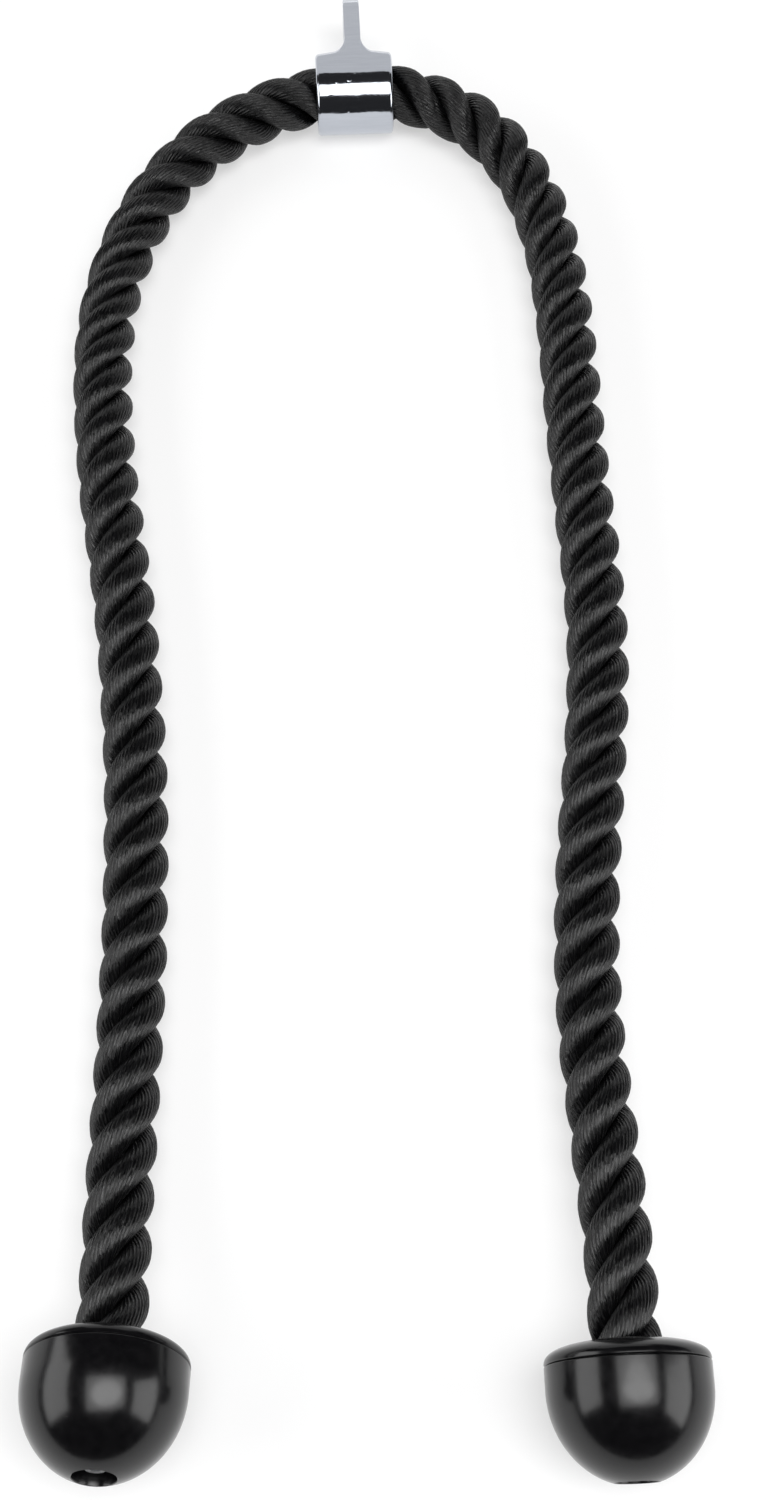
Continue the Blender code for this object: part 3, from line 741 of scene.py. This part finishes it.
def make_bowl(side, matrix, material):
    """The bowl, with its socket for the rope's end and its recess for the screw."""
    sleeve = SOCKET_RADIUS + SOCKET_WALL
    inside = CAP_RADIUS - BOWL_WALL
    depth = BOWL_DOME_DEPTH - BOWL_WALL
    profile = bowl_skin()
    profile += [
        (RECESS_RADIUS + RECESS_EDGE * EDGE_BULGE_SHARE, RECESS_EDGE * EDGE_BULGE_SHARE),
        (RECESS_RADIUS, RECESS_EDGE),
        (RECESS_RADIUS, RECESS_DEPTH),
        (SCREW_HOLE_RADIUS, RECESS_DEPTH),
        (SCREW_HOLE_RADIUS, SEAT_HEIGHT),
        (SOCKET_RADIUS, SEAT_HEIGHT),
        (SOCKET_RADIUS, SEAT_HEIGHT + SOCKET_DEPTH),
        (sleeve, SEAT_HEIGHT + SOCKET_DEPTH),
    ]
    # the inside of the shell, from the foot of the socket up to the seam
    foot = math.acos(sleeve / inside)
    for step in range(DOME_STEPS + 1):
        angle = foot * (DOME_STEPS - step) / DOME_STEPS
        profile.append((inside * math.cos(angle), dome_centre() - depth * math.sin(angle)))
    profile.append((inside, bowl_height()))
    finish_cap(turned(f"{side}_bowl_shell", profile, TURN_STEPS, matrix), side, "cap_bowl", material)


def make_cover(side, matrix, material):
    """The cover, a dome with a lip round the rope and a spigot that sits inside the bowl."""
    spigot = CAP_RADIUS - BOWL_WALL - FIT_GAP
    inside = spigot - SPIGOT_WALL
    profile = cover_skin()
    profile += [
        (spigot, cover_foot()),
        (spigot, cover_foot() - SPIGOT_DEPTH),
        (inside, cover_foot() - SPIGOT_DEPTH),
    ]
    end = math.acos(COVER_BORE / inside)
    for step in range(DOME_STEPS + 1):
        angle = end * step / DOME_STEPS
        height = (COVER_RISE - COVER_WALL) * math.sin(angle)
        profile.append((inside * math.cos(angle), cover_foot() + height))
    finish_cap(turned(f"{side}_cover_shell", profile, TURN_STEPS, matrix), side, "cap_cover", material)


def make_screw(side, matrix, material):
    """The screw, whose head has a six-sided socket. Its thread is hidden, so it is left plain."""
    top = RECESS_DEPTH - FIT_GAP - WASHER_THICKNESS - FIT_GAP
    bottom = top - SCREW_HEAD_HEIGHT
    tip = ROPE_END + SCREW_BITE
    edge = (SCREW_HEAD_RADIUS - SCREW_HEAD_EDGE, bottom + SCREW_HEAD_EDGE)
    profile = [(SCREW_TIP_RADIUS, tip), (SCREW_RADIUS, tip - SCREW_TIP)]
    profile += [(SCREW_RADIUS, top), (SCREW_HEAD_RADIUS, top)]
    profile += arc(edge, SCREW_HEAD_EDGE, 0, -1 / 4, ARC_STEPS)
    blank = turned_body(profile, SCREW_STEPS, Matrix())
    middle = bottom + (KEY_DEPTH - CUT_OVERRUN) / 2
    key = bmesh.new()
    bmesh.ops.create_cone(
        key,
        cap_ends=True,
        segments=KEY_SIDES,
        radius1=KEY_RADIUS,
        radius2=KEY_RADIUS,
        depth=KEY_DEPTH + CUT_OVERRUN,
        matrix=Matrix.Translation((0, 0, middle)),
    )
    key_body = mesh_object("key_body", key, SHARP_ANGLE)
    screw = cut(f"{side}_cap_screw", blank, key_body, matrix, SHARP_ANGLE)
    screw.data.materials.append(material)
    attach(screw, f"{side}_4")
    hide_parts(f"{side}_screw")


def finish_cap(piece, side, node, material):
    piece.data.materials.append(material)
    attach(piece, f"{side}_4")
    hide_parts(f"{side}_{node}")


# Materials

FILAMENT_TONES = ((0.0008, 0.0008, 0.0010), (0.0018, 0.0018, 0.0021), (0.008, 0.008, 0.009))
# the painted shade that darkens the yarns' valleys
PAINTED_VALLEY_SHADE_TONE = (0.0012, 0.0012, 0.0014)
CHROME_TONES = ((0.485, 0.51, 0.56), (0.525, 0.55, 0.60))
PLASTIC_TONES = ((0.0020, 0.0019, 0.0023), (0.0036, 0.0034, 0.0040))
DUST_TONE = (0.10, 0.10, 0.11)
TAPE_TONES = ((0.014, 0.014, 0.016), (0.030, 0.030, 0.033))
BLACKENED_TONES = ((0.045, 0.045, 0.048), (0.07, 0.07, 0.074), (0.15, 0.15, 0.155))
ZINC_TONES = ((0.42, 0.42, 0.43), (0.54, 0.55, 0.56), (0.64, 0.65, 0.66))


class Nodes:
    """A material's nodes, with short ways to add and join them."""

    def __init__(self, name):
        self.material = bpy.data.materials.new(name)
        self.material.use_nodes = True
        self.tree = self.material.node_tree
        self.shader = self.tree.nodes["Principled BSDF"]

    def add(self, kind, inputs=None, **settings):
        node = self.tree.nodes.new(kind)
        for key, value in settings.items():
            setattr(node, key, value)
        for key, value in (inputs or {}).items():
            self.set(node, key, value)
        return node

    def set(self, node, key, value):
        """Joins an output to the node's input, or gives the input a plain value."""
        if isinstance(value, bpy.types.NodeSocket):
            self.tree.links.new(value, node.inputs[key])
        else:
            node.inputs[key].default_value = value

    def maths(self, operation, a, b=0.0):
        return self.add("ShaderNodeMath", {0: a, 1: b}, operation=operation).outputs[0]

    def noise(self, vector, scale, detail=3.0, roughness=0.5):
        inputs = {"Vector": vector, "Scale": scale, "Detail": detail, "Roughness": roughness}
        return self.add("ShaderNodeTexNoise", inputs).outputs["Fac"]

    def spread(self, value, low, high, to_low=0.0, to_high=1.0):
        inputs = {"Value": value, "From Min": low, "From Max": high, "To Min": to_low, "To Max": to_high}
        return self.add("ShaderNodeMapRange", inputs).outputs[0]

    def ramp(self, value, places, tones):
        """A colour ramp with a tone at each place."""
        node = self.add("ShaderNodeValToRGB", {"Fac": value})
        elements = node.color_ramp.elements
        while len(elements) < len(tones):
            elements.new(1)
        for element, place, colour in zip(elements, places, tones):
            element.position = place
            element.color = (*colour, 1)
        return node.outputs["Color"]

    def mix(self, share, one, other):
        node = self.add("ShaderNodeMix", data_type="RGBA")
        self.set(node, "Factor", share)
        for name, colour in (("A", one), ("B", other)):
            socket = next(i for i in node.inputs if i.name == name and i.type == "RGBA")
            if isinstance(colour, bpy.types.NodeSocket):
                self.tree.links.new(colour, socket)
            else:
                socket.default_value = (*colour, 1)
        return next(o for o in node.outputs if o.type == "RGBA")

    def bump(self, height, strength, distance, normal=None):
        inputs = {"Height": height, "Strength": strength, "Distance": distance}
        if normal is not None:
            inputs["Normal"] = normal
        return self.add("ShaderNodeBump", inputs).outputs["Normal"]

    def yarn_noise(self, across, along, scales, offset, detail, roughness):
        """Noise on the rope, with its scales for a yarn across and for a centimetre along."""
        inputs = {
            "X": self.maths("MULTIPLY", across, scales[0]),
            "Y": self.maths("MULTIPLY", along, scales[1]),
            "Z": offset,
        }
        place = self.add("ShaderNodeCombineXYZ", inputs).outputs[0]
        return self.noise(place, scale=1.0, detail=detail, roughness=roughness)

    def look(self, **values):
        for key, value in values.items():
            self.set(self.shader, key.replace("_", " "), value)


def rope_material():
    """Black filament yarns: a round crest on each, with painted shade darkening the colour in its valley,
    glossy streaks that come and go along it, fine fibres, and yarns of slightly different brightness."""
    nodes = Nodes("rope_yarns")
    uv = nodes.add("ShaderNodeUVMap", uv_map="yarns").outputs["UV"]
    place = nodes.add("ShaderNodeSeparateXYZ", {0: uv})
    across, along = place.outputs["X"], place.outputs["Y"]
    yarn = nodes.maths("FLOOR", across)
    yarn_tone = nodes.add("ShaderNodeTexWhiteNoise", {"W": yarn}, noise_dimensions="1D").outputs["Value"]
    fibres = nodes.yarn_noise(across, along, scales=(7.0, 1.3), offset=0.0, detail=2.0, roughness=0.6)
    streaks = nodes.yarn_noise(across, along, scales=(2.3, 1.7), offset=7.0, detail=2.0, roughness=0.55)
    tilts = nodes.yarn_noise(across, along, scales=(1.3, 1.6), offset=13.0, detail=1.0, roughness=0.5)
    # how far from the yarn's crest, 0 on it and 1 in the valley
    centred = nodes.maths("SUBTRACT", nodes.maths("FRACT", across), 0.5)
    valley = nodes.maths("MULTIPLY", nodes.maths("ABSOLUTE", centred), 2.0)
    tone = nodes.maths("ADD", nodes.maths("MULTIPLY", fibres, 0.45), nodes.maths("MULTIPLY", streaks, 0.40))
    tone = nodes.maths("ADD", tone, nodes.maths("MULTIPLY", yarn_tone, 0.20))
    colour = nodes.ramp(tone, (0.35, 0.58, 0.75), FILAMENT_TONES)
    # painted shade: the colour darkens towards each yarn's valley, and the valley is also made rougher
    valley_shade_mask = nodes.spread(valley, low=0.45, high=0.95)
    colour = nodes.mix(nodes.maths("MULTIPLY", valley_shade_mask, 0.6), colour, PAINTED_VALLEY_SHADE_TONE)
    rough = nodes.spread(streaks, low=0.38, high=0.62, to_low=0.40, to_high=0.13)
    rough = nodes.maths("ADD", rough, nodes.maths("MULTIPLY", valley_shade_mask, 0.15))
    round_yarn = nodes.maths("SUBTRACT", 1.0, nodes.maths("MULTIPLY", valley, valley))
    normal = nodes.bump(round_yarn, strength=1.0, distance=0.00018)
    normal = nodes.bump(tilts, strength=1.0, distance=0.00045, normal=normal)
    normal = nodes.bump(streaks, strength=1.0, distance=0.00055, normal=normal)
    normal = nodes.bump(fibres, strength=0.6, distance=0.00015, normal=normal)
    nodes.look(
        Base_Color=colour,
        Roughness=rough,
        Normal=normal,
        Specular_IOR_Level=0.38,
        Anisotropic=0.85,
        Tangent=nodes.add("ShaderNodeTangent", direction_type="UV_MAP", uv_map="yarns").outputs[0],
    )
    return nodes.material


def chrome_material():
    """Bright plating over a forged blank: faint waves, fine polishing lines and a few specks."""
    nodes = Nodes("chrome_plating")
    place = nodes.add("ShaderNodeTexCoord").outputs["Object"]
    waves = nodes.noise(place, scale=90.0, detail=2.0)
    dents = nodes.spread(nodes.noise(place, scale=230.0, detail=1.0), low=0.71, high=0.82)
    stretch = {"Vector": place, "Scale": (60.0, 900.0, 900.0)}
    lines_place = nodes.add("ShaderNodeMapping", stretch).outputs[0]
    lines = nodes.noise(lines_place, scale=1.0, detail=3.0, roughness=0.6)
    specks = nodes.noise(place, scale=1400.0, detail=1.0)
    colour = nodes.ramp(lines, (0.3, 0.7), CHROME_TONES)
    rough = nodes.maths(
        "ADD",
        nodes.spread(lines, low=0.35, high=0.75, to_low=0.08, to_high=0.12),
        nodes.spread(specks, low=0.70, high=0.80, to_low=0.0, to_high=0.14),
    )
    normal = nodes.bump(waves, strength=0.25, distance=0.0008)
    normal = nodes.bump(dents, strength=0.5, distance=0.0002, normal=normal)
    normal = nodes.bump(lines, strength=0.02, distance=0.00004, normal=normal)
    nodes.look(Base_Color=colour, Roughness=rough, Normal=normal, Metallic=1.0)
    return nodes.material


def cap_material():
    """Polished black plastic with faint moulding waves, hairline scratches and a little dust."""
    nodes = Nodes("cap_plastic")
    place = nodes.add("ShaderNodeTexCoord").outputs["Object"]
    waves = nodes.noise(place, scale=55.0, detail=2.0)
    haze = nodes.noise(place, scale=240.0, detail=4.0, roughness=0.6)
    stretch = {"Vector": place, "Scale": (260.0, 2600.0, 900.0), "Rotation": (0.4, 0.2, 0.7)}
    scratch_place = nodes.add("ShaderNodeMapping", stretch).outputs[0]
    scratches = nodes.noise(scratch_place, scale=1.0, detail=2.0)
    dust = nodes.spread(nodes.noise(place, scale=2600.0, detail=1.0), low=0.76, high=0.82)
    colour = nodes.ramp(haze, (0.3, 0.7), PLASTIC_TONES)
    colour = nodes.mix(nodes.maths("MULTIPLY", dust, 0.25), colour, DUST_TONE)
    rough = nodes.maths(
        "ADD",
        nodes.spread(haze, low=0.3, high=0.7, to_low=0.17, to_high=0.23),
        nodes.spread(scratches, low=0.72, high=0.84, to_low=0.0, to_high=0.10),
    )
    normal = nodes.bump(waves, strength=0.05, distance=0.0008)
    nodes.look(Base_Color=colour, Roughness=rough, Normal=normal, Specular_IOR_Level=0.42)
    return nodes.material


def tape_material():
    """Black cloth tape, woven finely."""
    nodes = Nodes("tape_cloth")
    place = nodes.add("ShaderNodeTexCoord").outputs["Object"]
    threads = {"Vector": place, "Scale": 900.0, "Distortion": 1.5, "Detail": 2.0}
    weave = nodes.add("ShaderNodeTexWave", threads, bands_direction="Y").outputs["Fac"]
    grime = nodes.noise(place, scale=160.0, detail=4.0, roughness=0.6)
    colour = nodes.ramp(grime, (0.3, 0.7), TAPE_TONES)
    rough = nodes.spread(grime, low=0.3, high=0.7, to_low=0.40, to_high=0.60)
    normal = nodes.bump(weave, strength=0.3, distance=0.0001)
    nodes.look(Base_Color=colour, Roughness=rough, Normal=normal)
    return nodes.material


def steel_material(name, tones):
    """Steel of the screws and washers, worn brighter in places."""
    nodes = Nodes(name)
    place = nodes.add("ShaderNodeTexCoord").outputs["Object"]
    wear = nodes.noise(place, scale=420.0, detail=5.0, roughness=0.65)
    grain = nodes.noise(place, scale=2600.0, detail=2.0)
    colour = nodes.ramp(wear, (0.40, 0.58, 0.75), tones)
    rough = nodes.spread(grain, low=0.3, high=0.7, to_low=0.24, to_high=0.38)
    normal = nodes.bump(grain, strength=0.15, distance=0.00005)
    nodes.look(Base_Color=colour, Roughness=rough, Normal=normal, Metallic=1.0)
    return nodes.material


# The studio

FLOOR_RADIUS = 3.9
FLOOR_SIDES = 96
FLOOR_DROP = 0.0001
DOME_RADIUS = 4.0
DOME_SIDES = 64
DOME_RINGS = 16
ROOM_TONE = 0.03
ROOM_BLUE = 1.05
FLOOR_TONE = 0.95
FLOOR_WHITE_SHARE = 0.5
FLOOR_FADE = (0.47, 0.70)  # between these distances the floor turns into plain white
# name, shape, middle, the point it faces, width and height, and brightness, where 1 is white
LAMPS = [
    ("overhead_lamp", "RECTANGLE", (0.32, -0.46, 2.0), (0.32, -0.46, 0), (2.0, 1.38), 3.0),
    ("overhead_core", "ELLIPSE", (0.32, -0.46, 1.99), (0.32, -0.46, 0), (1.5, 1.05), 3.4),
    ("left_lamp", "RECTANGLE", (-1.30, -0.10, 0.80), (0.0, -0.10, 0.80), (1.6, 1.1), 3.0),
    ("right_lamp", "RECTANGLE", (1.30, -0.65, 0.75), (0.0, -0.65, 0.75), (1.1, 1.1), 3.4),
    ("collar_lamp", "RECTANGLE", (0.02, 0.65, 0.26), (0.02, 0.0, 0.26), (0.9, 0.50), 0.80),
]


def seen_ray(tree):
    """1 for a ray from the camera, or one that metal or glass sends on, and 0 for the rest."""
    path = tree.nodes.new("ShaderNodeLightPath")
    total = path.outputs["Is Camera Ray"]
    for name in ("Is Glossy Ray", "Is Transmission Ray"):
        node = tree.nodes.new("ShaderNodeMath")
        node.operation = "MAXIMUM"
        tree.links.new(total, node.inputs[0])
        tree.links.new(path.outputs[name], node.inputs[1])
        total = node.outputs[0]
    return total


def make_floor():
    """A pale round floor. Part of its white is its own, for what sees it, and the rest takes shadow."""
    shape = bmesh.new()
    bmesh.ops.create_circle(shape, cap_ends=True, segments=FLOOR_SIDES, radius=FLOOR_RADIUS)
    floor = mesh_object("floor", shape, SHARP_ANGLE)
    floor.location.z = -FLOOR_DROP
    material = bpy.data.materials.new("floor_white")
    material.use_nodes = True
    tree = material.node_tree
    tree.nodes.clear()
    matt = tree.nodes.new("ShaderNodeBsdfDiffuse")
    matt.inputs["Color"].default_value = (FLOOR_TONE, FLOOR_TONE, FLOOR_TONE, 1)
    white = tree.nodes.new("ShaderNodeEmission")
    white.inputs["Strength"].default_value = 1
    place = tree.nodes.new("ShaderNodeTexCoord")
    distance = tree.nodes.new("ShaderNodeVectorMath")
    distance.operation = "LENGTH"
    tree.links.new(place.outputs["Object"], distance.inputs[0])
    fade = tree.nodes.new("ShaderNodeMapRange")
    fade.interpolation_type = "SMOOTHSTEP"
    fade.inputs["From Min"].default_value, fade.inputs["From Max"].default_value = FLOOR_FADE
    fade.inputs["To Min"].default_value = FLOOR_WHITE_SHARE
    fade.inputs["To Max"].default_value = 1
    tree.links.new(distance.outputs["Value"], fade.inputs["Value"])
    share = tree.nodes.new("ShaderNodeMath")
    share.operation = "MULTIPLY"
    tree.links.new(seen_ray(tree), share.inputs[0])
    tree.links.new(fade.outputs[0], share.inputs[1])
    both = tree.nodes.new("ShaderNodeMixShader")
    tree.links.new(share.outputs[0], both.inputs[0])
    tree.links.new(matt.outputs[0], both.inputs[1])
    tree.links.new(white.outputs[0], both.inputs[2])
    output = tree.nodes.new("ShaderNodeOutputMaterial")
    tree.links.new(both.outputs[0], output.inputs["Surface"])
    floor.data.materials.append(material)


def make_room():
    """The dim studio round the object, which only its reflections and its shadows see."""
    shape = bmesh.new()
    rises = [math.pi / 2 * ring / DOME_RINGS for ring in range(DOME_RINGS)]
    profile = [(DOME_RADIUS * math.cos(rise), DOME_RADIUS * math.sin(rise)) for rise in rises]
    rings = turned_rings(shape, profile, DOME_SIDES, Matrix())
    join_rings(shape, rings, rings[1:])
    shape.faces.new(rings[-1])
    room = mesh_object("studio_room", shape, SHARP_ANGLE)
    material = bpy.data.materials.new("room_dim")
    material.use_nodes = True
    tree = material.node_tree
    tree.nodes.clear()
    glow = tree.nodes.new("ShaderNodeEmission")
    glow.inputs["Color"].default_value = (ROOM_TONE, ROOM_TONE, ROOM_TONE * ROOM_BLUE, 1)
    output = tree.nodes.new("ShaderNodeOutputMaterial")
    tree.links.new(glow.outputs[0], output.inputs["Surface"])
    room.data.materials.append(material)
    room.visible_camera = False
    room.visible_shadow = False


def make_world():
    """White where the camera sees past the floor, dim otherwise."""
    world = bpy.data.worlds.new("studio_white")
    world.use_nodes = True
    tree = world.node_tree
    background = tree.nodes["Background"]
    background.inputs["Color"].default_value = (1, 1, 1, 1)
    share = tree.nodes.new("ShaderNodeMath")
    share.operation = "MAXIMUM"
    tree.links.new(seen_ray(tree), share.inputs[0])
    share.inputs[1].default_value = ROOM_TONE
    tree.links.new(share.outputs[0], background.inputs["Strength"])
    bpy.context.scene.world = world


def make_lamps():
    for name, outline, middle, target, (width, height), brightness in LAMPS:
        lamp = bpy.data.lights.new(name, "AREA")
        lamp.shape = outline
        lamp.size = width
        lamp.size_y = height
        area = width * height * (math.pi / 4 if outline == "ELLIPSE" else 1)
        lamp.energy = brightness * math.pi * area
        obj = link(bpy.data.objects.new(name, lamp))
        obj.location = middle
        facing = Vector(target) - Vector(middle)
        obj.rotation_euler = facing.to_track_quat("-Z", "Y").to_euler()
        obj.visible_camera = False


# Everything

make_camera()

collar_low, collar_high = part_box("collar")
collar_centre = Vector(
    (
        (collar_low[0] + collar_high[0]) / 2,
        collar_high[1] - EYE_DISTANCE - EYE_RADIUS,
        (collar_low[2] + collar_high[2]) / 2,
    )
)
left = Cap(LEFT_BOTTOM, LEFT_HEADING, LEFT_TILT)
right = Cap(RIGHT_BOTTOM, RIGHT_HEADING, RIGHT_TILT)
for cap in (left, right):
    cap.bottom += Vector((collar_centre.x, collar_centre.y, 0))
straight = COLLAR_WIDTH / 2 + COLLAR_EDGE
inside_points = [collar_centre + Vector((straight * share, 0, 0)) for share in (-1, -1 / 2, 0, 1 / 2, 1)]
left_points = run_points(LEFT_RUN, left, collar_centre)
right_points = run_points(RIGHT_RUN, right, collar_centre)
rope_route = Route(left_points[::-1] + inside_points + right_points, collar_centre)
rope_look = rope_material()
make_leg("left", -1, rope_route, rope_look)
make_leg("right", 1, rope_route, rope_look)

make_collar(collar_centre, chrome_material())
plastic = cap_material()
zinc = steel_material("screw_zinc", ZINC_TONES)
for side, cap in (("left", left), ("right", right)):
    make_bowl(side, cap.matrix(), plastic)
    make_cover(side, cap.matrix(), plastic)
    make_screw(side, cap.matrix(), zinc)

kept_looks = {
    "end_tape": tape_material(),
    "washer": steel_material("washer_blackened", BLACKENED_TONES),
}
for side in ("left", "right"):
    for node, look in kept_looks.items():
        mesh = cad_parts[f"{side}_{node}"].data
        mesh.materials.clear()
        mesh.materials.append(look)

make_floor()
make_room()
make_world()
make_lamps()

scene = bpy.context.scene
scene.view_settings.view_transform = "Standard"
